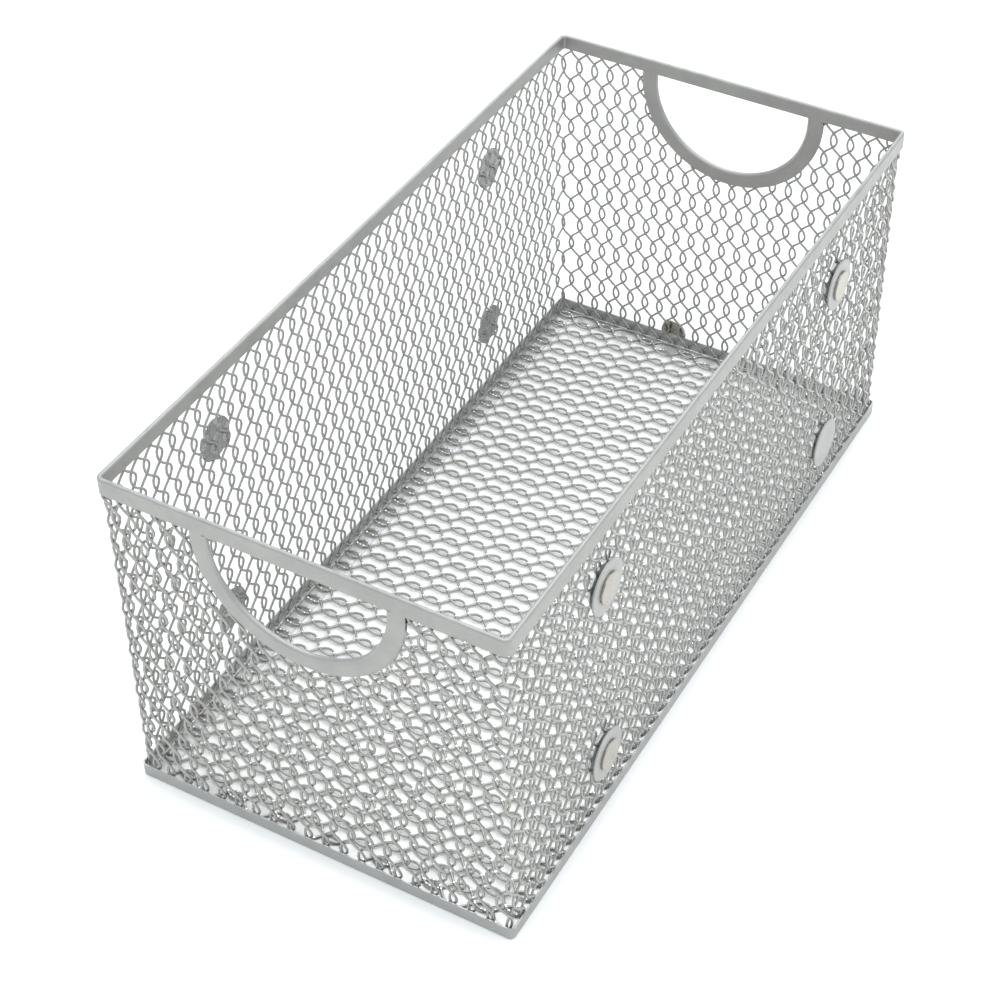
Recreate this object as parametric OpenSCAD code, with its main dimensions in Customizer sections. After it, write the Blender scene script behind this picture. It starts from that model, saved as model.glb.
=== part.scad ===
// Wire locker basket: a mesh box with a folded rim, a round handle opening in each end wall,
// an angle frame under its edge and four magnet stations on one long wall.
// It stands on z = 0 with its middle on the origin. Its length runs along y and the
// magnets face +x.

/* [Basket] */
// Outer width, over the two long walls
basket_w = 150; // [130:1:200]
// Outer length, over the two end walls
basket_l = 309; // [240:1:400]
// Height from the ground to the top of the rim
basket_h = 140; // [115:1:180]
// Outer radius of the rim's and the mesh's upright corners
corner_r = 3; // [2.5:0.5:8]

/* [Mesh] */
// Thickness of the flattened mesh
mesh_t = 1; // [0.8:0.1:1.3]
// Width of one strand of the mesh
strand_w = 1.4; // [1:0.1:2]
// Pitch of the gaps along a row
gap_pitch = 10.4; // [9:0.1:16]
// Pitch of the rows of gaps
row_pitch = 15; // [12:0.1:20]
// Share of a row over which two strands run side by side
twist_share = 0.65; // [0.45:0.05:0.75]
// Space left beside the edges of the mesh where they sit in a channel
mesh_clearance = 0.1; // [0.05:0.05:0.3]

/* [Top rim] */
// Height of the folded rim
rim_h = 6.6; // [5.5:0.1:9]
// Thickness of the rim's sheet steel
rim_sheet = 0.4; // [0.3:0.05:0.5]
// How much higher the inner band ends than the outer one
band_step = 0.7; // [0.2:0.1:2]
// How far the mesh reaches up into the rim
rim_bite = 3.4; // [2:0.1:4.2]

/* [Handles] */
// Radius of the handle opening
handle_r = 32.6; // [25:0.1:42]
// Width of the ring's face round the opening, with its round edges
ring_face_w = 6.8; // [5:0.1:9]
// Thickness of the ring's sheet steel
ring_sheet = 0.4; // [0.3:0.05:0.6]
// Diameter of the bead along the handle opening
ring_bead_d = 2.2; // [2:0.05:2.4]
// Height of the ring's straight legs under the rim
leg_h = 2; // [1:0.1:6]
// Sideways place of the rear handle
rear_handle_x = 2; // [-5:0.1:5]

/* [Bottom frame] */
// Height of the frame's upright lip
lip_h = 5.5; // [4:0.1:8]
// Width of the flat flange, from the frame's outer face
flange_w = 8; // [7:0.5:12]
// Thickness of the frame's sheet steel
frame_sheet = 0.5; // [0.4:0.1:0.8]
// Inner radius of the bend between the lip and the flange
bend_r = 0.3; // [0.2:0.1:0.6]
// Outer radius of the frame's upright corners
frame_corner_r = 2; // [1.5:0.1:3]
// Distance from the frame's outer face to the edge of the floor mesh
floor_inset = 4.6; // [3:0.1:6]

/* [Magnet stations] */
// Distance of each station's centre from the outer face of its end wall
station_from_end = 62; // [40:1:90]
// Height of the lower stations' centres above the ground
station_rise = 30.5; // [20:0.5:40]
// Depth of the upper stations' centres below the top of the rim
station_drop = 29.5; // [22:0.5:40]
// Diameter of a pad on the inner face of a long wall
pad_d = 16.8; // [12:0.1:24]
// Thickness of a pad
pad_t = 0.6; // [0.5:0.05:1.5]
// Diameter of a magnet plate on the outer face of the right wall
plate_d = 20; // [16:0.1:28]
// Thickness of a magnet plate
plate_t = 0.8; // [0.6:0.1:1.5]
// Space between a magnet plate and the mesh behind it
plate_standoff = 1.8; // [1:0.1:3]
// Diameter of the boss that carries a magnet plate
boss_d = 9; // [5:0.5:12]
// Diameter of a magnet
magnet_d = 11.5; // [8:0.5:15]
// Thickness of a magnet
magnet_t = 1; // [0.8:0.1:3]
// Edge radius of the pads
pad_edge_r = 0.2; // [0.1:0.05:0.25]
// Edge radius of the plates and the magnets
disc_edge_r = 0.25; // [0.1:0.05:0.3]
// Sideways place of the spare magnet on the rear lip
spare_x = -19.4; // [-50:0.1:50]
// Height of the spare magnet's lowest point above the ground
spare_lift = 0.4; // [0.1:0.1:2]

/* [Hidden] */
$fn = 48;
STATIONS = ["front_upper", "front_lower", "rear_upper", "rear_lower"];
LEFT_PADS = [for (name = STATIONS) str("left_pad_", name)];
RIGHT_PADS = [for (name = STATIONS) str("right_pad_", name)];
PLATES = [for (name = STATIONS) str("plate_", name)];
MAGNETS = [for (name = ["front_upper", "front_lower", "rear_upper"]) str("magnet_", name)];

// How far each station sits from its nominal place, along the wall and up, as shares of plate_d
left_shift_shares = [[-0.06, -0.015], [-0.165, 0.03], [0.025, -0.015], [-0.11, 0.175]];
right_shift_shares = [[-0.13, 0.11], [0.03, 0.025], [-0.105, -0.075], [0.015, -0.035]];

// Thickness of the folded rim
rim_t = mesh_t + 2 * rim_sheet;

// The middle of the wall mesh runs this far inside the basket's outer faces
mesh_inset = max(rim_t / 2, frame_sheet + mesh_clearance + mesh_t / 2);
path_x = basket_w / 2 - mesh_inset;
path_y = basket_l / 2 - mesh_inset;
path_r = corner_r - mesh_inset;
straight_x = basket_w - 2 * corner_r;
straight_y = basket_l - 2 * corner_r;

// The mesh stands on the frame's bend and ends in the rim's channel
rim_z = basket_h - rim_h;
mesh_foot = frame_sheet + bend_r;
mesh_top = rim_z + rim_bite;
mesh_h = mesh_top - mesh_foot;
gaps_top = rim_z + strand_w;

// The handle ring's channel
ring_t = mesh_t + 2 * ring_sheet;
ring_z = rim_z - leg_h;
ring_r = handle_r + ring_face_w;
ring_bead_r = handle_r + ring_bead_d / 2;

// The frame's bend, outside
bend_out = bend_r + frame_sheet;

steel = [0.66, 0.67, 0.68];
wire = [0.57, 0.58, 0.59];
nickel = [0.76, 0.73, 0.68];

// A rectangle with round corners, centred
module rounded(w, l, r) {
    square([w - 2 * r, l], center = true);
    square([w, l - 2 * r], center = true);
    for (side_x = [-1, 1], side_y = [-1, 1])
        translate([side_x * (w / 2 - r), side_y * (l / 2 - r)])
            circle(r);
}

// Carries a profile round the basket along the middle of the wall mesh, with corners of
// radius r. The profile's x points out of the basket and its y points up.
module carry_round(r) {
    for (turn = [0 : 3]) {
        across = turn % 2 == 0;
        out = across ? path_x : path_y;
        straight = 2 * ((across ? path_y : path_x) - r);
        rotate(90 * turn) {
            translate([out, straight / 2, 0])
                rotate([90, 0, 0])
                    linear_extrude(straight)
                        children();
            translate([out - r, straight / 2, 0])
                rotate_extrude(angle = 90)
                    translate([r, 0])
                        children();
        }
    }
}

// The frame's lip and its bend, as a profile for carry_round
module lip_profile() {
    translate([mesh_inset - frame_sheet, bend_out])
        square([frame_sheet, lip_h - bend_out]);
    translate([mesh_inset - bend_out, bend_out])
        intersection() {
            difference() {
                circle(bend_out);
                circle(bend_r);
            }
            translate([0, -bend_out])
                square(bend_out);
        }
}

// Angle frame: an upright lip outside the mesh and a flange under the floor
module bottom_frame() {
    color(steel) {
        carry_round(frame_corner_r - mesh_inset)
            lip_profile();
        linear_extrude(frame_sheet)
            difference() {
                rounded(basket_w - 2 * bend_out, basket_l - 2 * bend_out, frame_corner_r - bend_out);
                square([basket_w - 2 * flange_w, basket_l - 2 * flange_w], center = true);
            }
    }
}

// The rim's folded sheet as a profile for carry_round: two bands under a round fold
module rim_profile() {
    fold_z = basket_h - rim_t / 2;
    difference() {
        union() {
            translate([0, fold_z])
                circle(rim_t / 2);
            translate([-rim_t / 2, rim_z])
                square([rim_t, fold_z - rim_z]);
        }
        translate([0, fold_z])
            circle(mesh_t / 2);
        translate([-mesh_t / 2, rim_z])
            square([mesh_t, fold_z - rim_z]);
        translate([-rim_t / 2, rim_z])
            square([rim_t / 2, band_step]);
    }
}

module top_rim() {
    color(steel)
        carry_round(path_r)
            rim_profile();
}

// One gap of the mesh: two upright sides and a point above and below
module gap(pitch, rise) {
    half = strand_w / 2;
    side_x = pitch / 2 - half;
    lean = atan2(rise * (1 - twist_share), pitch / 2);
    tip_y = rise * (1 - twist_share / 2) - half / cos(lean);
    side_y = tip_y - side_x * tan(lean);
    polygon([
        [side_x, side_y], [0, tip_y], [-side_x, side_y],
        [-side_x, -side_y], [0, -tip_y], [side_x, -side_y]
    ]);
}

// Staggered rows of gaps over a panel w wide and h tall that stands on y = 0
module gap_rows(w, h) {
    columns = round(w / gap_pitch);
    rows = round(h / row_pitch);
    pitch = w / columns;
    rise = h / rows;
    for (row = [0 : rows]) {
        shift = row % 2 / 2;
        for (column = [0 : columns - row % 2])
            translate([(column + shift) * pitch - w / 2, row * rise])
                gap(pitch, rise);
    }
}

// The part of a panel of mesh that its gaps may open: all but its edges
module gap_field(w, h, top) {
    translate([-w / 2 + strand_w / 2, strand_w])
        square([w - strand_w, top - strand_w]);
}

// The handle's outline at radius r: a half disc below, and straight up to the height top
module handle_outline(r, top) {
    intersection() {
        circle(r);
        translate([-r, -r])
            square([2 * r, r]);
    }
    translate([-r, 0])
        square([2 * r, top]);
}

// A wall of mesh, straight between the corners, seen from outside: x along it and y up
module wall_outline(straight, handle, handle_x) {
    difference() {
        translate([-straight / 2, 0])
            square([straight, mesh_h]);
        intersection() {
            difference() {
                gap_field(straight, mesh_h, gaps_top - mesh_foot);
                if (handle)
                    translate([handle_x, ring_z - mesh_foot])
                        handle_outline(ring_r - strand_w, mesh_h);
            }
            gap_rows(straight, mesh_h);
        }
        if (handle)
            translate([handle_x, ring_z - mesh_foot])
                handle_outline(ring_bead_r, gaps_top - ring_z);
    }
}

// Strands that lead round half a corner to the next wall
module corner_strands() {
    rows = round(mesh_h / row_pitch);
    rise = mesh_h / rows;
    edges = [for (row = [0.5 : rows]) row * rise - strand_w / 2];
    rotate(-90)
        rotate_extrude(angle = 45)
            translate([path_r - mesh_t / 2, 0]) {
                square([mesh_t, strand_w]);
                for (edge = edges)
                    translate([0, edge])
                        square([mesh_t, strand_w]);
                translate([0, gaps_top - mesh_foot])
                    square([mesh_t, mesh_top - gaps_top]);
            }
}

// One wall of mesh with half a corner at each end. Its outer face looks along -y.
module wall_mesh(straight, out, handle = false, handle_x = 0) {
    color(wire)
        translate([0, -out, mesh_foot]) {
            rotate([90, 0, 0])
                linear_extrude(mesh_t, center = true)
                    wall_outline(straight, handle, handle_x);
            for (side = [0, 1])
                mirror([side, 0, 0])
                    translate([straight / 2, path_r, 0])
                        corner_strands();
        }
}

module front_mesh() {
    wall_mesh(straight_x, path_y, true);
}

module rear_mesh() {
    rotate(180)
        wall_mesh(straight_x, path_y, true, -rear_handle_x);
}

module right_mesh() {
    rotate(90)
        wall_mesh(straight_y, path_x);
}

module left_mesh() {
    rotate(-90)
        wall_mesh(straight_y, path_x);
}

// The floor's mesh lies on the flange, its rows along the basket
module floor_mesh() {
    floor_w = basket_w - 2 * floor_inset;
    floor_l = basket_l - 2 * floor_inset;
    color(wire)
        translate([floor_w / 2, 0, frame_sheet])
            rotate(90)
                linear_extrude(mesh_t)
                    difference() {
                        translate([-floor_l / 2, 0])
                            square([floor_l, floor_w]);
                        intersection() {
                            gap_field(floor_l, floor_w, floor_w - strand_w);
                            gap_rows(floor_l, floor_w);
                        }
                    }
}

// The handle ring's folded sheet, a hollow bead and two faces: x is the radius, y goes through
// the wall
module ring_profile() {
    difference() {
        union() {
            translate([ring_bead_r, 0])
                circle(ring_bead_d / 2);
            translate([ring_bead_r, -ring_t / 2])
                square([ring_r - ring_t / 2 - ring_bead_r, ring_t]);
            translate([ring_r - ring_t / 2, 0])
                circle(ring_t / 2);
        }
        translate([ring_bead_r, 0])
            circle(ring_bead_d / 2 - ring_sheet);
        translate([ring_bead_r, -mesh_t / 2])
            square([ring_face_w, mesh_t]);
    }
}

// Channel round a handle opening, clamped on the mesh: half a ring and two short legs.
// Each leg's inner half is longer, up to the rim's inner band.
module handle_ring() {
    color(steel)
        translate([0, -path_y, ring_z]) {
            rotate([90, 0, 0])
                rotate(180)
                    rotate_extrude(angle = 180)
                        ring_profile();
            for (side = [0, 1])
                mirror([side, 0, 0]) {
                    linear_extrude(leg_h)
                        ring_profile();
                    linear_extrude(leg_h + band_step)
                        intersection() {
                            ring_profile();
                            square([ring_r, ring_bead_d / 2]);
                        }
                }
        }
}

module front_handle_ring() {
    handle_ring();
}

module rear_handle_ring() {
    translate([rear_handle_x, 0, 0])
        rotate(180)
            handle_ring();
}

// A flat disc with round edges
module disc(d, t, edge_r) {
    rotate_extrude() {
        square([d / 2 - edge_r, t]);
        translate([0, edge_r])
            square([d / 2, t - 2 * edge_r]);
        for (y = [edge_r, t - edge_r])
            translate([d / 2 - edge_r, y])
                circle(edge_r);
    }
}

// Puts a piece at station number i of the left (-1) or right (1) wall, its z pointing outwards
module at_station(side, i) {
    shifts = side < 0 ? left_shift_shares : right_shift_shares;
    end_y = (i < 2 ? -1 : 1) * (basket_l / 2 - station_from_end);
    row_z = i % 2 == 0 ? basket_h - station_drop : station_rise;
    translate([side * path_x, end_y + shifts[i].x * plate_d, row_z + shifts[i].y * plate_d])
        rotate([0, 90 * side, 0])
            children();
}

// A pad on the inner face of the mesh
module pad(side, i) {
    color(wire)
        at_station(side, i)
            translate([0, 0, -mesh_t / 2 - pad_t])
                disc(pad_d, pad_t, pad_edge_r);
}

// A round steel plate that a boss holds off the mesh
module plate(i) {
    color(steel)
        at_station(1, i)
            translate([0, 0, mesh_t / 2]) {
                cylinder(d = boss_d, h = plate_standoff + disc_edge_r);
                translate([0, 0, plate_standoff])
                    disc(plate_d, plate_t, disc_edge_r);
            }
}

// A magnet on the face of its plate
module magnet(i) {
    color(nickel)
        at_station(1, i)
            translate([0, 0, mesh_t / 2 + plate_standoff + plate_t])
                disc(magnet_d, magnet_t, disc_edge_r);
}

// The fourth magnet, kept on the outside of the rear lip
module spare_magnet() {
    color(nickel)
        translate([spare_x, basket_l / 2, magnet_d / 2 + spare_lift])
            rotate([-90, 0, 0])
                disc(magnet_d, magnet_t, disc_edge_r);
}

bottom_frame();
floor_mesh();
front_mesh();
rear_mesh();
left_mesh();
right_mesh();
top_rim();
front_handle_ring();
rear_handle_ring();
for (i = [0 : len(STATIONS) - 1]) {
    pad(-1, i);
    pad(1, i);
    plate(i);
}
for (i = [0 : len(MAGNETS) - 1])
    magnet(i);
spare_magnet();
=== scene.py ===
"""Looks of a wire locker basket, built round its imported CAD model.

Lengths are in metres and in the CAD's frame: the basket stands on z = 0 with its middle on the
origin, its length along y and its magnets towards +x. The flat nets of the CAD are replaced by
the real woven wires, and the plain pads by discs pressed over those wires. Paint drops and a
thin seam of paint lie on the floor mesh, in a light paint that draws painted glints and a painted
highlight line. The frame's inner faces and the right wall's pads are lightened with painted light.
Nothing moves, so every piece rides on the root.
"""

import math

import bpy
import numpy as np
from mathutils import Matrix, Vector


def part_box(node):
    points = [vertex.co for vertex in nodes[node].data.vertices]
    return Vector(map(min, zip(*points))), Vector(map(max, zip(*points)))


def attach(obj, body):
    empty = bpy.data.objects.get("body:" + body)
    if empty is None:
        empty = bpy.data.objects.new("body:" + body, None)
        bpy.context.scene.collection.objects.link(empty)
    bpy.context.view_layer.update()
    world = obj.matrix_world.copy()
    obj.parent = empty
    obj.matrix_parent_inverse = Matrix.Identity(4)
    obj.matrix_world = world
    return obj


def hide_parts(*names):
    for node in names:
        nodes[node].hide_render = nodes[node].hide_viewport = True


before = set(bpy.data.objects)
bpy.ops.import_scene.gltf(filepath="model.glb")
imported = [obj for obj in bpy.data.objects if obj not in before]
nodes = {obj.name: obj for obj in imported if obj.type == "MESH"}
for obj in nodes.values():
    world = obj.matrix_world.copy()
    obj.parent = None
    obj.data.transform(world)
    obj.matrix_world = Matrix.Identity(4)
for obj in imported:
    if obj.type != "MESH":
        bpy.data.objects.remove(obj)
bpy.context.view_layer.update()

MM = 0.001

# Sizes that the frame gives

rim_low, rim_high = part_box("top_rim")
_, frame_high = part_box("bottom_frame")
ring_low, ring_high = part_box("front_handle_ring")
rear_ring_low, rear_ring_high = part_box("rear_handle_ring")

HALF_WIDTH = frame_high.x
HALF_LENGTH = frame_high.y
HEIGHT = rim_high.z
RIM_BOTTOM = rim_low.z
RING_OUTER_R = ring_high.x
RING_CENTRE_Z = ring_low.z + RING_OUTER_R
REAR_RING_X = (rear_ring_low.x + rear_ring_high.x) / 2

# Sizes of the weave

WIRE_R = 0.485 * MM
MID_INSET = 1.1 * MM  # from the basket's outer faces to the middle of the wall mesh
MID_CORNER_R = 1.9 * MM
WIRE_COUNT = 258  # upright wires round the four walls
WALL_ROW = 9.83 * MM  # from one row of eyes to the next
WALL_ROW_START = 9.2 * MM
FLOOR_ROW = 9.95 * MM
FLOOR_WIRE_PITCH = 3.49 * MM
SWAY = 3.25 * MM  # how far a wire swings to each side
SWAY_SHARP = 0.045  # share of the third wave, which makes the eyes pointed
DEPTH = 0.475 * MM  # how far a wire swings through the wall
POINTS_PER_ROW = 7
TUBE_SIDES = 8

# Where the weave ends

WIRE_FOOT = 1 * MM
WIRE_TOP = HEIGHT - 3.9 * MM  # inside the rim's fold
LIP_NEST = 0.28 * MM  # the mesh leans in by this much, inside the frame's lip
LIP_NEST_TOP = 8 * MM
CRIMP = 0.35  # share of its depth that a wire keeps inside a folded channel
CRIMP_BLEND = 0.6 * MM  # on each side of the channel's edge
CORNER_SLACK = 0.8 * MM  # how far the mesh cuts the corners short, under the rim
CORNER_REACH = 4 * MM
SLACK_BLEND = 9 * MM  # below the rim, where the slack grows to its full size
END_BAND = 1 * MM  # a point this close to an end wall's middle counts as part of that wall
RING_CUT_R = RING_OUTER_R - 4.5 * MM
SHORTEST_RUN = 3  # points
FLOOR_MID_Z = 1.4 * MM
FLOOR_HALF_W = HALF_WIDTH - 2.5 * MM
FLOOR_HALF_L = HALF_LENGTH - 2.6 * MM
FLOOR_EYE_Y = 145.4 * MM  # an eye of an even row

MID_X = HALF_WIDTH - MID_INSET
MID_Y = HALF_LENGTH - MID_INSET
STRAIGHT_X = 2 * (MID_X - MID_CORNER_R)
STRAIGHT_Y = 2 * (MID_Y - MID_CORNER_R)
CORNER_LENGTH = math.pi / 2 * MID_CORNER_R
PATH_LENGTH = 2 * (STRAIGHT_X + STRAIGHT_Y) + 4 * CORNER_LENGTH
WIRE_PITCH = PATH_LENGTH / WIRE_COUNT
REAR_EYE_X = 6.007 * MM  # where the first wire's line crosses the rear wall

# How each wall's mesh is pulled askew, in the order of the path: the shift of its wires along the
# path at its start and end, their lean, and how much higher its rows are
WALL_PULL = {
    "rear_mesh": (-0.6 * MM, -0.6 * MM, 0.016, -0.3 * MM),
    "left_mesh": (1.7 * MM, 3.1 * MM, -0.008, -1.3 * MM),
    "front_mesh": (1.4 * MM, 3.5 * MM, 0.0, -2.2 * MM),
    "right_mesh": (4.0 * MM, 4.0 * MM, 0.0, -6.3 * MM),
}
PULL_BLEND = 6 * MM  # how far before a corner one wall's pull starts to give way to the next's
WALLS = list(WALL_PULL)


def smooth_step(value, start, end):
    """0 before start, 1 after end, and a smooth rise between them."""
    share = np.clip((value - start) / (end - start), 0, 1)
    return share * share * (3 - 2 * share)


# The path of the walls: along the rear wall from +x to -x, down the left wall, and so on round

def wall_length(turn):
    """Straight length of a wall. turn is 0 for the rear wall and counts on along the path."""
    return STRAIGHT_X if turn % 2 == 0 else STRAIGHT_Y


def wall_frame(along):
    """Points on the walls' middle line and its outward normals, at distances along it."""
    along = np.mod(along, PATH_LENGTH)
    point = np.zeros((len(along), 3))
    normal = np.zeros((len(along), 3))
    start = 0.0
    for turn in range(len(WALLS)):
        straight = wall_length(turn)
        out = MID_Y if turn % 2 == 0 else MID_X
        heading = math.pi / 2 * (turn + 1)  # the outward direction of this wall
        outward = np.array([math.cos(heading), math.sin(heading), 0])
        forward = np.array([-math.sin(heading), math.cos(heading), 0])
        here = (along >= start) & (along < start + straight)
        point[here] = outward * out + forward * (along[here, None] - start - straight / 2)
        normal[here] = outward
        start += straight
        here = (along >= start) & (along < start + CORNER_LENGTH)
        angle = (along[here, None] - start) / MID_CORNER_R
        centre = outward * (out - MID_CORNER_R) + forward * straight / 2
        normal[here] = outward * np.cos(angle) + forward * np.sin(angle)
        point[here] = centre + normal[here] * MID_CORNER_R
        start += CORNER_LENGTH
    return point, normal


def wave(phase, side):
    """Sideways sway and depth of a wire at these phases. side is +1 or -1 for every other wire."""
    sway = side * SWAY * (np.cos(phase) - SWAY_SHARP * np.cos(3 * phase))
    return sway, side * DEPTH * np.sin(phase)


def above_lip(z):
    """0 where the frame's lip holds the mesh in, 1 above the lip."""
    return smooth_step(z, LIP_NEST_TOP / 2, LIP_NEST_TOP)


def corner_slack(along, z):
    """How far the mesh runs inside the corner's arc, at points along the path and at heights z."""
    side = STRAIGHT_X + CORNER_LENGTH
    half_path = side + STRAIGHT_Y + CORNER_LENGTH
    past = np.mod(along + CORNER_LENGTH / 2, half_path)
    away = np.minimum(np.minimum(past, half_path - past), np.abs(past - side))
    fade = smooth_step(RIM_BOTTOM - z, 0, SLACK_BLEND) * above_lip(z)
    return CORNER_SLACK * np.exp(-((away / CORNER_REACH) ** 2)) * fade


def crimp_share(distance):
    """Share of its depth that a wire keeps at this distance outside a channel's edge."""
    return CRIMP + (1 - CRIMP) * smooth_step(distance, -CRIMP_BLEND, CRIMP_BLEND)


# Meshes

def new_piece(name, vertices, faces):
    mesh = bpy.data.meshes.new(name)
    mesh.from_pydata(vertices.tolist(), [], faces)
    mesh.validate()
    mesh.shade_smooth()
    piece = bpy.data.objects.new(name, mesh)
    bpy.context.scene.collection.objects.link(piece)
    return piece


def tubes(name, lines, radius):
    """One mesh of round wires. Each line is (points, a normal at each point)."""
    turns = np.linspace(0, 2 * math.pi, TUBE_SIDES, endpoint=False)
    across, aside = np.cos(turns)[None, :, None], np.sin(turns)[None, :, None]
    vertices, quads, caps = [], [], []
    start = 0
    for points, normals in lines:
        tangent = np.gradient(points, axis=0)
        tangent /= np.linalg.norm(tangent, axis=1)[:, None]
        side = np.cross(tangent, normals)
        side /= np.linalg.norm(side, axis=1)[:, None]
        up = np.cross(side, tangent)
        ring = across * up[:, None] + aside * side[:, None]
        vertices.append((points[:, None] + radius * ring).reshape(-1, 3))
        count = len(points)
        here = start + np.arange((count - 1) * TUBE_SIDES).reshape(count - 1, TUBE_SIDES)
        turned = np.roll(here, -1, axis=1)
        quad = [here, turned, turned + TUBE_SIDES, here + TUBE_SIDES]
        quads.append(np.stack(quad, axis=-1).reshape(-1, 4))
        caps.append(start + np.arange(TUBE_SIDES)[::-1])
        caps.append(start + (count - 1) * TUBE_SIDES + np.arange(TUBE_SIDES))
        start += count * TUBE_SIDES
    faces = [tuple(f) for f in np.concatenate(quads).tolist()] + [tuple(c.tolist()) for c in caps]
    return new_piece(name, np.concatenate(vertices), faces)


def upwards(count):
    """The normals of a line of count points that lies flat."""
    return np.tile([0.0, 0.0, 1.0], (count, 1))


def runs(keep):
    """(first, past) of each unbroken run of kept points that is long enough to draw."""
    edges = np.flatnonzero(np.diff(np.concatenate([[0], keep.astype(int), [0]])))
    return [(a, b) for a, b in zip(edges[::2], edges[1::2]) if b - a >= SHORTEST_RUN]


# The woven walls

def pull_at(along):
    """(shift, lean, rise) of the mesh where a wire's undisturbed line runs."""
    places, shifts, leans, rises = [], [], [], []
    start = 0.0
    for turn, wall in enumerate(WALLS):
        straight = wall_length(turn)
        first, last, lean, rise = WALL_PULL[wall]
        places += [start + PULL_BLEND, start + straight - PULL_BLEND]
        shifts += [first, last]
        leans += [lean, lean]
        rises += [rise, rise]
        start += straight + CORNER_LENGTH
    return [
        np.interp(along, places, values, period=PATH_LENGTH)
        for values in (shifts, leans, rises)
    ]


def undisturbed(number):
    """Where the undisturbed line of an upright wire runs along the path."""
    return (number * WIRE_PITCH + STRAIGHT_X / 2 - REAR_EYE_X) % PATH_LENGTH


def side_of(number):
    """Which way a wire swings first. Neighbours swing opposite ways."""
    return 1 if number % 2 == 0 else -1


def wall_wire(number):
    """(points, normals, keep) of one upright wire. keep is False inside a handle opening."""
    rows = (WIRE_TOP - WIRE_FOOT) / WALL_ROW
    z = np.linspace(WIRE_FOOT, WIRE_TOP, int(rows * POINTS_PER_ROW) + 1)
    shift, lean, rise = pull_at(undisturbed(number))
    sway, depth = wave(math.pi * (z - WALL_ROW_START - rise) / WALL_ROW, side_of(number))
    askew = shift + lean * (z - HEIGHT / 2)
    along = undisturbed(number) + sway + askew
    point, normal = wall_frame(along)
    ring_x = np.where(point[:, 1] > 0, REAR_RING_X, 0)
    across_handle = np.hypot(point[:, 0] - ring_x, np.minimum(z - RING_CENTRE_Z, 0))
    at_end = np.abs(point[:, 1]) > MID_Y - END_BAND
    share = crimp_share(RIM_BOTTOM - z)
    at_ring = np.minimum(share, crimp_share(across_handle - RING_OUTER_R))
    share = np.where(at_end, at_ring, share)
    nest = LIP_NEST * (1 - above_lip(z))
    inset = nest + corner_slack(along, z)
    point = point + normal * (depth * share - inset)[:, None]
    point[:, 2] = z
    keep = ~at_end | (across_handle > RING_CUT_R)
    return point, normal, keep


def wall_of(number):
    """Which wall carries a wire, counted from its undisturbed line."""
    end = STRAIGHT_X + CORNER_LENGTH / 2
    for turn, wall in enumerate(WALLS):
        if undisturbed(number) < end:
            return wall
        end += CORNER_LENGTH + wall_length(turn + 1)
    return WALLS[0]


wall_lines = {wall: [] for wall in WALLS}
for number in range(WIRE_COUNT):
    point, normal, keep = wall_wire(number)
    wall_lines[wall_of(number)] += [(point[a:b], normal[a:b]) for a, b in runs(keep)]

woven = {wall: tubes("woven_" + wall, wall_lines[wall], WIRE_R) for wall in WALLS}


# The woven floor

def floor_wire(y, side):
    """A wire across the floor whose undisturbed line is at y."""
    rows = 2 * FLOOR_HALF_W / FLOOR_ROW
    x = np.linspace(-FLOOR_HALF_W, FLOOR_HALF_W, int(rows * POINTS_PER_ROW) + 1)
    sway, depth = wave(math.pi * x / FLOOR_ROW, side)
    swung = np.clip(y + sway, -FLOOR_HALF_L, FLOOR_HALF_L)
    return np.stack([x, swung, FLOOR_MID_Z + depth], axis=1), upwards(len(x))


first_line = FLOOR_EYE_Y - FLOOR_WIRE_PITCH / 2
lowest = math.ceil((-FLOOR_HALF_L - first_line) / FLOOR_WIRE_PITCH)
highest = math.floor((FLOOR_HALF_L - first_line) / FLOOR_WIRE_PITCH)
floor_lines = [
    floor_wire(first_line + number * FLOOR_WIRE_PITCH, side_of(number))
    for number in range(lowest, highest + 1)
]
woven["floor_mesh"] = tubes("woven_floor_mesh", floor_lines, WIRE_R)


# Paint drops and a seam on the floor mesh, in a light paint that draws painted glints and a
# painted highlight line

DROP_SPOKES = 8
DROP_RINGS = [  # radius and height in millimetres, from the almost flat crown down
    (0.2, -0.003),
    (0.38, -0.012),
    (0.42, -0.04),
    (0.48, -0.14),
    (0.42, -0.5),
]
DROP_LIFT = 0.02 * MM  # a crown's height over the wire's top
DROP_SEED = 7
CROSSING_SIZES = (0.75, 1.15)
EDGE_SIZES = (0.6, 1.15)
EDGE_BAND = 6 * MM  # how far from the floor's edges drops also sit between crossings
EDGE_SHARE = 0.45  # how many of the wires' points carry a drop there
SEAM_R = 0.2 * MM
SEAM_OUT = 0.35 * MM  # from the floor's edge to the middle of the seam
SEAM_Z = 1.5 * MM
SEAM_POINTS = 60


def drop_shape():
    """(vertices, faces) of one drop whose crown is at the origin."""
    spokes = np.linspace(0, 2 * math.pi, DROP_SPOKES, endpoint=False)
    shape = [(0.0, 0.0, 0.0)]
    for radius, height in DROP_RINGS:
        shape += [(radius * math.cos(a), radius * math.sin(a), height) for a in spokes]
    sides = [(0, 1 + k, 1 + (k + 1) % DROP_SPOKES) for k in range(DROP_SPOKES)]
    for ring in range(len(DROP_RINGS) - 1):
        first = 1 + ring * DROP_SPOKES
        below = first + DROP_SPOKES
        for k in range(DROP_SPOKES):
            after = (k + 1) % DROP_SPOKES
            sides.append((first + k, below + k, below + after, first + after))
    last = 1 + (len(DROP_RINGS) - 1) * DROP_SPOKES
    sides.append(tuple(last + k for k in range(DROP_SPOKES))[::-1])
    return np.array(shape) * MM, sides


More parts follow.
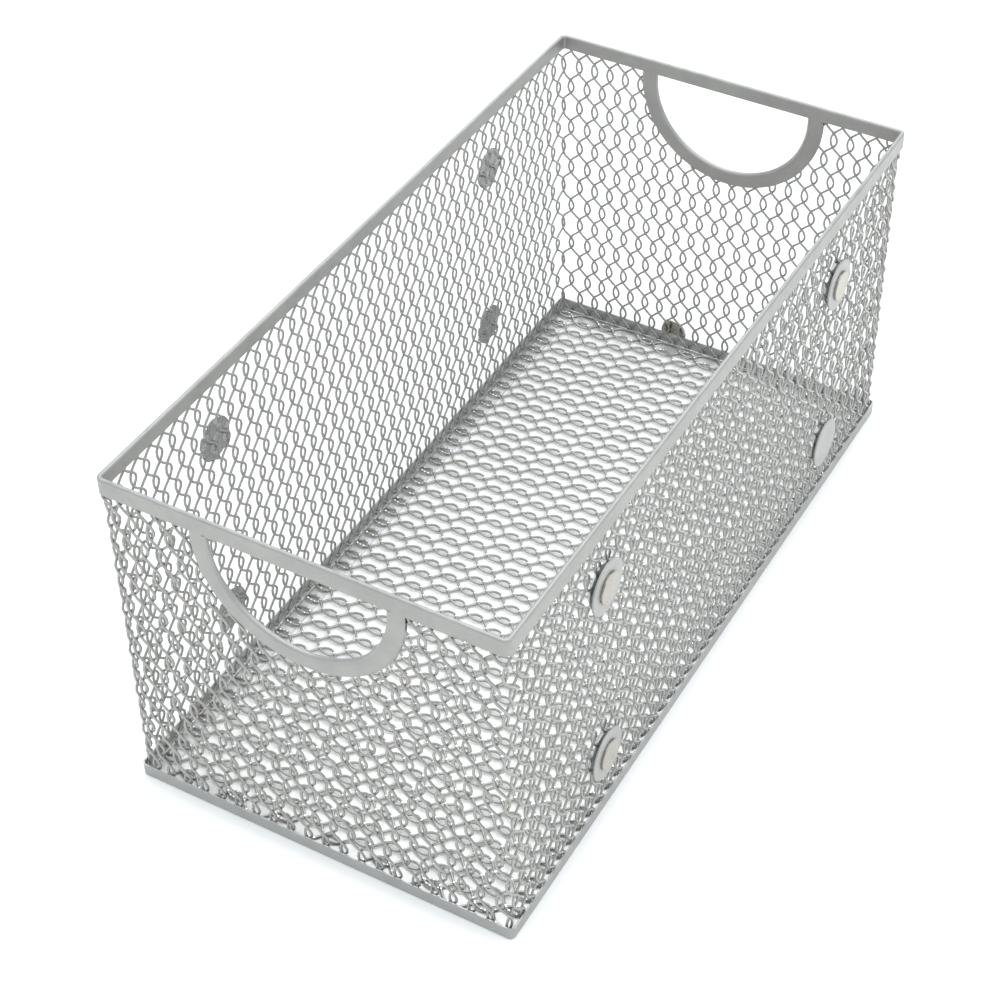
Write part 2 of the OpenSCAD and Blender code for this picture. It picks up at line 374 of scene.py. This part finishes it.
def drop_places():
    """(place on a wire's middle line, size) of every drop."""
    chance = np.random.default_rng(DROP_SEED)
    places = []
    for (one, _), (other, _) in zip(floor_lines, floor_lines[1:]):
        gap = other[:, 1] - one[:, 1]
        for k in np.flatnonzero(gap[:-1] * gap[1:] < 0):
            share = gap[k] / (gap[k] - gap[k + 1])
            crossing = [wire[k] + share * (wire[k + 1] - wire[k]) for wire in (one, other)]
            upper = max(crossing, key=lambda place: place[2])
            places.append((upper, chance.uniform(*CROSSING_SIZES)))
    for points, _ in floor_lines:
        at_edge = np.abs(points[:, 0]) > FLOOR_HALF_W - EDGE_BAND
        at_edge |= np.abs(points[:, 1]) > FLOOR_HALF_L - EDGE_BAND
        for k in np.flatnonzero(at_edge & (chance.random(len(points)) < EDGE_SHARE)):
            places.append((points[k], chance.uniform(*EDGE_SIZES)))
    return places


def paint_drops():
    """Small drops on top of the floor's crossings and along its edges."""
    shape, sides = drop_shape()
    over_wire = np.array([0, 0, WIRE_R + DROP_LIFT])
    vertices, faces = [], []
    for place, size in drop_places():
        first = len(vertices) * len(shape)
        faces += [tuple(v + first for v in side) for side in sides]
        vertices.append(place + over_wire + shape * np.array([size, size, 1]))
    return new_piece("floor_paint_drops_and_glints", np.concatenate(vertices), faces)


def paint_seam():
    """A thin bead where the floor meets the walls, whose light paint draws a painted highlight
    line.
    """
    x, y = FLOOR_HALF_W + SEAM_OUT, FLOOR_HALF_L + SEAM_OUT
    corners = [(-x, -y), (x, -y), (x, y), (-x, y)]
    share = np.linspace(0, 1, SEAM_POINTS)
    height = np.full(SEAM_POINTS, SEAM_Z)
    lines = []
    for (x0, y0), (x1, y1) in zip(corners, corners[1:] + corners[:1]):
        points = np.stack([x0 + share * (x1 - x0), y0 + share * (y1 - y0), height], axis=1)
        lines.append((points, upwards(SEAM_POINTS)))
    return tubes("floor_seam_painted_highlight", lines, SEAM_R)


drops = paint_drops()
seam = paint_seam()


# Pads, pressed over the wires

PAD_RINGS = 22
PAD_SPOKES = 72
PAD_RING_SPREAD = 0.85  # below 1, the rings crowd towards the pad's edge
PAD_SHEET = 0.35 * MM
PAD_LEVEL = -0.4 * MM  # how far the pad's inner face stands inside the mesh's middle between wires
PAD_FILM = 0.06 * MM  # the sheet over a wire
PAD_REACH = 0.66 * MM  # how far from a wire's middle the sheet still lifts
PAD_LIFT_POWER = 4  # the higher, the flatter the sheet over a wire and the steeper its sides
PAD_EDGE = 0.5 * MM  # width of the pad's rounded edge
PAD_EDGE_DROP = 0.12 * MM
PAD_WIRE_MARGIN = 2 * MM  # how far outside a pad a wire still counts


def wires_behind(middle, radius):
    """(starts, ends) of the pieces of wire that run behind a pad."""
    reach = radius + PAD_WIRE_MARGIN
    near = []
    for wire in range(WIRE_COUNT):
        point, _, _ = wall_wire(wire)
        close = np.abs(point[:, 1] - middle.y) < reach
        close &= np.abs(point[:, 2] - middle.z) < reach
        close &= point[:, 0] * middle.x > 0
        for k in np.flatnonzero(close[:-1]):
            near.append(np.stack([point[k], point[k + 1]]))
    near = np.array(near)
    return near[:, 0], near[:, 1]


def pressed_height(y, z, starts, ends, inward):
    """How far the sheet stands inside the mesh's middle, at points of a pad."""
    along = ends - starts
    from_y = y[:, None] - starts[:, 1]
    from_z = z[:, None] - starts[:, 2]
    share = from_y * along[:, 1] + from_z * along[:, 2]
    share = np.clip(share / (along[:, 1] ** 2 + along[:, 2] ** 2), 0, 1)
    gap = np.hypot(from_y - share * along[:, 1], from_z - share * along[:, 2])
    level = inward * (starts[:, 0] + share * along[:, 0]) + MID_X
    crest = level + WIRE_R + PAD_FILM
    lift = (crest - PAD_LEVEL) * np.exp(-((gap / PAD_REACH) ** PAD_LIFT_POWER))
    return PAD_LEVEL + np.maximum(lift.max(axis=1), 0)


def pad_faces(count):
    """Faces of a round sheet: upper vertices first, then as many (count) under them."""
    faces = []
    for ring in range(PAD_RINGS):
        outer = 1 + ring * PAD_SPOKES
        inner = outer - PAD_SPOKES
        for spoke in range(PAD_SPOKES):
            after = (spoke + 1) % PAD_SPOKES
            if ring == 0:
                face = (0, outer + spoke, outer + after)
            else:
                face = (inner + spoke, outer + spoke, outer + after, inner + after)
            faces.append(face)
            faces.append(tuple(v + count for v in face[::-1]))
            if ring == PAD_RINGS - 1:
                a, b = outer + after, outer + spoke
                faces.append((a, b, b + count, a + count))
    return faces


def pressed_pad(node):
    """A thin disc on the inner face of a long wall, pressed over the wires behind it."""
    low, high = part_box(node)
    middle = (low + high) / 2
    radius = (high.y - low.y) / 2
    inward = -1 if middle.x > 0 else 1
    starts, ends = wires_behind(middle, radius)
    spokes = np.linspace(0, 2 * math.pi, PAD_SPOKES, endpoint=False)
    radii = radius * np.linspace(0, 1, PAD_RINGS + 1)[1:] ** PAD_RING_SPREAD
    y = middle.y + np.concatenate([[0], np.outer(radii, np.cos(spokes)).ravel()])
    z = middle.z + np.concatenate([[0], np.outer(radii, np.sin(spokes)).ravel()])
    height = pressed_height(y, z, starts, ends, inward)
    edge = smooth_step(np.hypot(y - middle.y, z - middle.z), radius - PAD_EDGE, radius)
    height -= PAD_EDGE_DROP * edge
    side = -inward * MID_X
    top = np.stack([side + inward * height, y, z], axis=1)
    under = np.stack([side + inward * (height - PAD_SHEET), y, z], axis=1)
    faces = pad_faces(len(top))
    if inward < 0:
        faces = [face[::-1] for face in faces]
    return new_piece("pressed_" + node, np.concatenate([top, under]), faces)


pads = {node: pressed_pad(node) for node in nodes if "_pad_" in node}


# Materials

SPREAD = (0.3, 0.7)  # the part of a noise pattern's range that a ramp uses


def new_material(name):
    """(material, its node tree, its Principled shader)."""
    material = bpy.data.materials.new(name)
    material.use_nodes = True
    tree = material.node_tree
    return material, tree, tree.nodes["Principled BSDF"]


def object_place(tree):
    return tree.nodes.new("ShaderNodeTexCoord").outputs["Object"]


def noise(tree, place, scale, detail, stretch=(1, 1, 1)):
    """The value of a noise pattern whose grains are about 1 / scale metres."""
    mapping = tree.nodes.new("ShaderNodeMapping")
    mapping.inputs["Scale"].default_value = stretch
    tree.links.new(place, mapping.inputs["Vector"])
    pattern = tree.nodes.new("ShaderNodeTexNoise")
    pattern.inputs["Scale"].default_value = scale
    pattern.inputs["Detail"].default_value = detail
    tree.links.new(mapping.outputs["Vector"], pattern.inputs["Vector"])
    return pattern.outputs["Fac"]


def ramp(tree, value, *stops):
    """A colour ramp over value. Each stop is (position, grey or colour)."""
    node = tree.nodes.new("ShaderNodeValToRGB")
    while len(node.color_ramp.elements) < len(stops):
        node.color_ramp.elements.new(0.5)
    for element, (position, colour) in zip(node.color_ramp.elements, stops):
        element.position = position
        element.color = (colour, colour, colour, 1) if isinstance(colour, float) else (*colour, 1)
    tree.links.new(value, node.inputs["Fac"])
    return node.outputs["Color"]


def vary(tree, pattern, low, high, socket):
    """Lets a noise pattern drive a shader's socket between two greys or colours."""
    tree.links.new(ramp(tree, pattern, (SPREAD[0], low), (SPREAD[1], high)), socket)


def bump(tree, shader, height, strength, distance, under=None):
    node = tree.nodes.new("ShaderNodeBump")
    node.inputs["Strength"].default_value = strength
    node.inputs["Distance"].default_value = distance
    tree.links.new(height, node.inputs["Height"])
    if under is not None:
        tree.links.new(under, node.inputs["Normal"])
    tree.links.new(node.outputs["Normal"], shader.inputs["Normal"])


def tint(tree, shader, colour):
    """Multiplies the shader's base colour by another one."""
    mix = tree.nodes.new("ShaderNodeMix")
    mix.data_type = "RGBA"
    mix.blend_type = "MULTIPLY"
    mix.clamp_result = True
    mix.inputs["Factor"].default_value = 1.0
    tree.links.new(shader.inputs["Base Color"].links[0].from_socket, mix.inputs["A"])
    tree.links.new(colour, mix.inputs["B"])
    tree.links.new(mix.outputs["Result"], shader.inputs["Base Color"])


CLOUD_SCALE = 90
GLOSS_SCALE = 400
GLOSS_SWING = 0.05  # of the roughness, to each side
PEEL_SCALE = 1500
PEEL_DEPTH = 0.1 * MM


def silver_paint(name, dark, light, metallic, roughness, grain):
    """Silver-grey enamel: cloudy colour, slightly uneven gloss and an orange-peel surface."""
    material, tree, shader = new_material(name)
    place = object_place(tree)
    vary(tree, noise(tree, place, CLOUD_SCALE, 4.0), dark, light, shader.inputs["Base Color"])
    low, high = roughness - GLOSS_SWING, roughness + GLOSS_SWING
    vary(tree, noise(tree, place, GLOSS_SCALE, 2.0), low, high, shader.inputs["Roughness"])
    shader.inputs["Metallic"].default_value = metallic
    bump(tree, shader, noise(tree, place, PEEL_SCALE, 2.0), grain, PEEL_DEPTH)
    return material


# Dark and light colour, metallic share, roughness, and strength of the orange peel
PAINTS = {
    "sheet_paint": ((0.34, 0.33, 0.315), (0.385, 0.375, 0.355), 0.6, 0.42, 0.12),
    "rim_paint": ((0.34, 0.33, 0.315), (0.385, 0.375, 0.355), 0.6, 0.42, 0.12),
    "frame_paint": ((0.33, 0.325, 0.315), (0.375, 0.37, 0.36), 0.45, 0.36, 0.12),
    "wire_paint": ((0.36, 0.347, 0.325), (0.41, 0.397, 0.375), 0.6, 0.28, 0.1),
    "pad_paint": ((0.32, 0.315, 0.31), (0.4, 0.395, 0.39), 0.9, 0.24, 0.25),
    # much lighter paint for the right wall's pads: painted light in the shade behind the plates
    "dull_pad_paint": ((0.54, 0.535, 0.52), (0.62, 0.615, 0.6), 0.1, 0.5, 0.25),
    "plate_paint": ((0.39, 0.38, 0.365), (0.44, 0.43, 0.415), 0.4, 0.45, 0.2),
    # light, glossy paint of the drops and the seam: painted glints and a painted highlight line
    "glint_paint": ((0.7, 0.71, 0.72), (0.85, 0.85, 0.85), 0.9, 0.16, 0.02),
}
paints = {name: silver_paint(name, *looks) for name, looks in PAINTS.items()}

DENT_SCALE = 90  # makes the dents about 7 mm apart along the rim
DENT_DEPTH = 0.15 * MM
DENT_STRENGTH = 0.7
PATCH_SCALE = 22
STAIN_SCALE = 130
WHITE = (1.0, 1.0, 1.0)
BROWNISH = (0.92, 0.88, 0.82)


def crimp_marks(material):
    """Slanted dents where the wires press through the folded rim, in patches, and stains."""
    tree = material.node_tree
    shader = tree.nodes["Principled BSDF"]
    place = object_place(tree)
    patches = ramp(tree, noise(tree, place, PATCH_SCALE, 2.0), (0.45, 0.0), (0.62, 1.0))
    dents = tree.nodes.new("ShaderNodeTexWave")
    dents.bands_direction = "DIAGONAL"
    dents.inputs["Scale"].default_value = DENT_SCALE
    dents.inputs["Distortion"].default_value = 1.5
    dents.inputs["Detail Scale"].default_value = 30
    tree.links.new(place, dents.inputs["Vector"])
    depth = tree.nodes.new("ShaderNodeMath")
    depth.operation = "MULTIPLY"
    tree.links.new(dents.outputs["Fac"], depth.inputs[0])
    tree.links.new(patches, depth.inputs[1])
    peel = shader.inputs["Normal"].links[0].from_socket
    bump(tree, shader, depth.outputs["Value"], DENT_STRENGTH, DENT_DEPTH, peel)
    stains = noise(tree, place, STAIN_SCALE, 5.0, (1, 1, 2.5))
    tint(tree, shader, ramp(tree, stains, (0.6, WHITE), (0.74, BROWNISH)))


FACING_RANGE = 40 * MM
INNER_PAINTED_LIGHT = 1.7  # painted light on faces that look at the basket's middle line
FLANGE_PAINTED_LIGHT = 1.68  # painted light on the flange's upper face


def paint_inner_light(material):
    """Lightens the faces that look into the basket, the lip's inner side and the flange, with
    painted light against their shade.

    A face's normal times its place is below zero on the lip's inner side, just above zero on the
    flat flange and large on the outer side."""
    tree = material.node_tree
    shader = tree.nodes["Principled BSDF"]
    place = tree.nodes.new("ShaderNodeNewGeometry")
    facing = tree.nodes.new("ShaderNodeVectorMath")
    facing.operation = "DOT_PRODUCT"
    tree.links.new(place.outputs["Normal"], facing.inputs[0])
    tree.links.new(place.outputs["Position"], facing.inputs[1])
    spread = tree.nodes.new("ShaderNodeMapRange")
    spread.inputs["From Min"].default_value = -FACING_RANGE
    spread.inputs["From Max"].default_value = FACING_RANGE
    tree.links.new(facing.outputs["Value"], spread.inputs["Value"])
    stops = (0.2, INNER_PAINTED_LIGHT), (0.51, FLANGE_PAINTED_LIGHT), (0.6, 1.0)
    tint(tree, shader, ramp(tree, spread.outputs["Result"], *stops))


crimp_marks(paints["rim_paint"])
# the frame's paint carries painted light on the lip's inner side and on the flange
paint_inner_light(paints["frame_paint"])

NICKEL_DARK = (0.39, 0.37, 0.33)
NICKEL_LIGHT = (0.44, 0.415, 0.375)
NICKEL_ROUGHNESS = (0.22, 0.34)
NICKEL_STAIN_SCALE = 220
SCRATCH_SCALE = 900
SCRATCH_STRETCH = (1, 1, 0.12)
SCRATCH_DEPTH = 0.05 * MM
SCRATCH_STRENGTH = 0.05


def nickel_plate(name):
    """Dull nickel with a warm tint, fine scratches and a few stains."""
    material, tree, shader = new_material(name)
    place = object_place(tree)
    stain = noise(tree, place, NICKEL_STAIN_SCALE, 5.0)
    vary(tree, stain, NICKEL_DARK, NICKEL_LIGHT, shader.inputs["Base Color"])
    scratch = noise(tree, place, SCRATCH_SCALE, 2.0, SCRATCH_STRETCH)
    vary(tree, scratch, *NICKEL_ROUGHNESS, shader.inputs["Roughness"])
    shader.inputs["Metallic"].default_value = 1.0
    bump(tree, shader, scratch, SCRATCH_STRENGTH, SCRATCH_DEPTH)
    return material


nickel = nickel_plate("nickel")


def wear(piece, material):
    piece.data.materials.clear()
    piece.data.materials.append(material)


for name, node in nodes.items():
    if name == "top_rim":
        wear(node, paints["rim_paint"])
    elif "ring" in name:
        wear(node, paints["sheet_paint"])
    elif name == "bottom_frame":
        wear(node, paints["frame_paint"])
    elif "magnet" in name:
        wear(node, nickel)
    elif name.startswith("plate"):
        wear(node, paints["plate_paint"])

for name, piece in woven.items():
    wear(piece, paints["wire_paint"])
    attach(piece, "root")
    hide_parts(name)

# the drops and the seam wear the light paint of painted glints and a painted highlight line
for piece in (drops, seam):
    wear(piece, paints["glint_paint"])
    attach(piece, "root")

# the right wall's pads get the lighter paint, painted light in the shade behind the plates
for name, piece in pads.items():
    wear(piece, paints["dull_pad_paint" if name.startswith("right") else "pad_paint"])
    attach(piece, "root")
    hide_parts(name)


# Stage, light and camera

STAGE_HALF = 6.0
STAGE_COLOUR = (0.94, 0.93, 0.9, 1)
STAGE_ROUGHNESS = 0.9
SKY = (0.84, 0.92, 1.0)
SKY_STRENGTH = 1.1

# Place, the point it shines at, size, power in watts and colour
LIGHTS = {
    "top_light": ((0.3, 0.3, 1.9), (0.3, 0.3, 0), (3.0, 2.6), 36, (1.0, 0.975, 0.94)),
    "rear_light": ((-0.5, 1.2, 1.15), (0, 0, 0.07), (1.1, 0.8), 5.6, SKY),
}


def stage_floor():
    mesh = bpy.data.meshes.new("stage_floor")
    half = STAGE_HALF
    corners = [(-half, -half, 0), (half, -half, 0), (half, half, 0), (-half, half, 0)]
    mesh.from_pydata(corners, [], [(0, 1, 2, 3)])
    floor = bpy.data.objects.new("stage_floor", mesh)
    bpy.context.scene.collection.objects.link(floor)
    material, _, shader = new_material("stage_white")
    shader.inputs["Base Color"].default_value = STAGE_COLOUR
    shader.inputs["Roughness"].default_value = STAGE_ROUGHNESS
    shader.inputs["Specular IOR Level"].default_value = 0.0
    mesh.materials.append(material)


def soft_box(name, place, target, size, power, colour):
    light = bpy.data.lights.new(name, "AREA")
    light.shape = "RECTANGLE"
    light.size, light.size_y = size
    light.energy = power
    light.color = colour
    lamp = bpy.data.objects.new(name, light)
    lamp.location = place
    lamp.rotation_mode = "QUATERNION"
    lamp.rotation_quaternion = (Vector(target) - Vector(place)).to_track_quat("-Z", "Y")
    bpy.context.scene.collection.objects.link(lamp)


stage_floor()
for name, looks in LIGHTS.items():
    soft_box(name, *looks)

world = bpy.data.worlds.new("studio")
world.use_nodes = True
world.node_tree.nodes["Background"].inputs["Color"].default_value = (*SKY, 1)
world.node_tree.nodes["Background"].inputs["Strength"].default_value = SKY_STRENGTH
bpy.context.scene.world = world
bpy.context.scene.view_settings.view_transform = "Standard"

# The camera stands on a line through the origin, turned by azimuth and elevation, and is then
# moved sideways and up in its own plane
AZIMUTH = math.radians(28.337)
ELEVATION = math.radians(39.850)
ROLL = math.radians(0.299)
DISTANCE = 872 * MM
RIGHT_OFFSET = 7.25 * MM
UP_OFFSET = 68.27 * MM
IMAGE_SIZE = 1000
FOCAL_PIXELS = 2252.455
CENTRE_X, CENTRE_Y = 559.2, 399.6  # the pixel that the camera looks straight at
SENSOR_WIDTH = 36  # millimetres, as Blender's camera has it
CLIP_START = 0.01


def photo_camera():
    back = Vector((
        math.sin(AZIMUTH) * math.cos(ELEVATION),
        -math.cos(AZIMUTH) * math.cos(ELEVATION),
        math.sin(ELEVATION),
    ))
    level_right = (-back).cross(Vector((0, 0, 1))).normalized()
    level_up = level_right.cross(-back)
    right = math.cos(ROLL) * level_right + math.sin(ROLL) * level_up
    up = math.cos(ROLL) * level_up - math.sin(ROLL) * level_right
    data = bpy.data.cameras.new("photo_camera")
    data.sensor_width = SENSOR_WIDTH
    data.lens = FOCAL_PIXELS / IMAGE_SIZE * SENSOR_WIDTH
    data.shift_x = (IMAGE_SIZE / 2 - CENTRE_X) / IMAGE_SIZE
    data.shift_y = (CENTRE_Y - IMAGE_SIZE / 2) / IMAGE_SIZE
    data.clip_start = CLIP_START
    data.dof.use_dof = False
    camera = bpy.data.objects.new("photo_camera", data)
    place = back * DISTANCE + right * RIGHT_OFFSET + up * UP_OFFSET
    camera.matrix_world = Matrix((
        (right.x, up.x, back.x, place.x),
        (right.y, up.y, back.y, place.y),
        (right.z, up.z, back.z, place.z),
        (0, 0, 0, 1),
    ))
    bpy.context.scene.collection.objects.link(camera)
    bpy.context.scene.camera = camera


photo_camera()
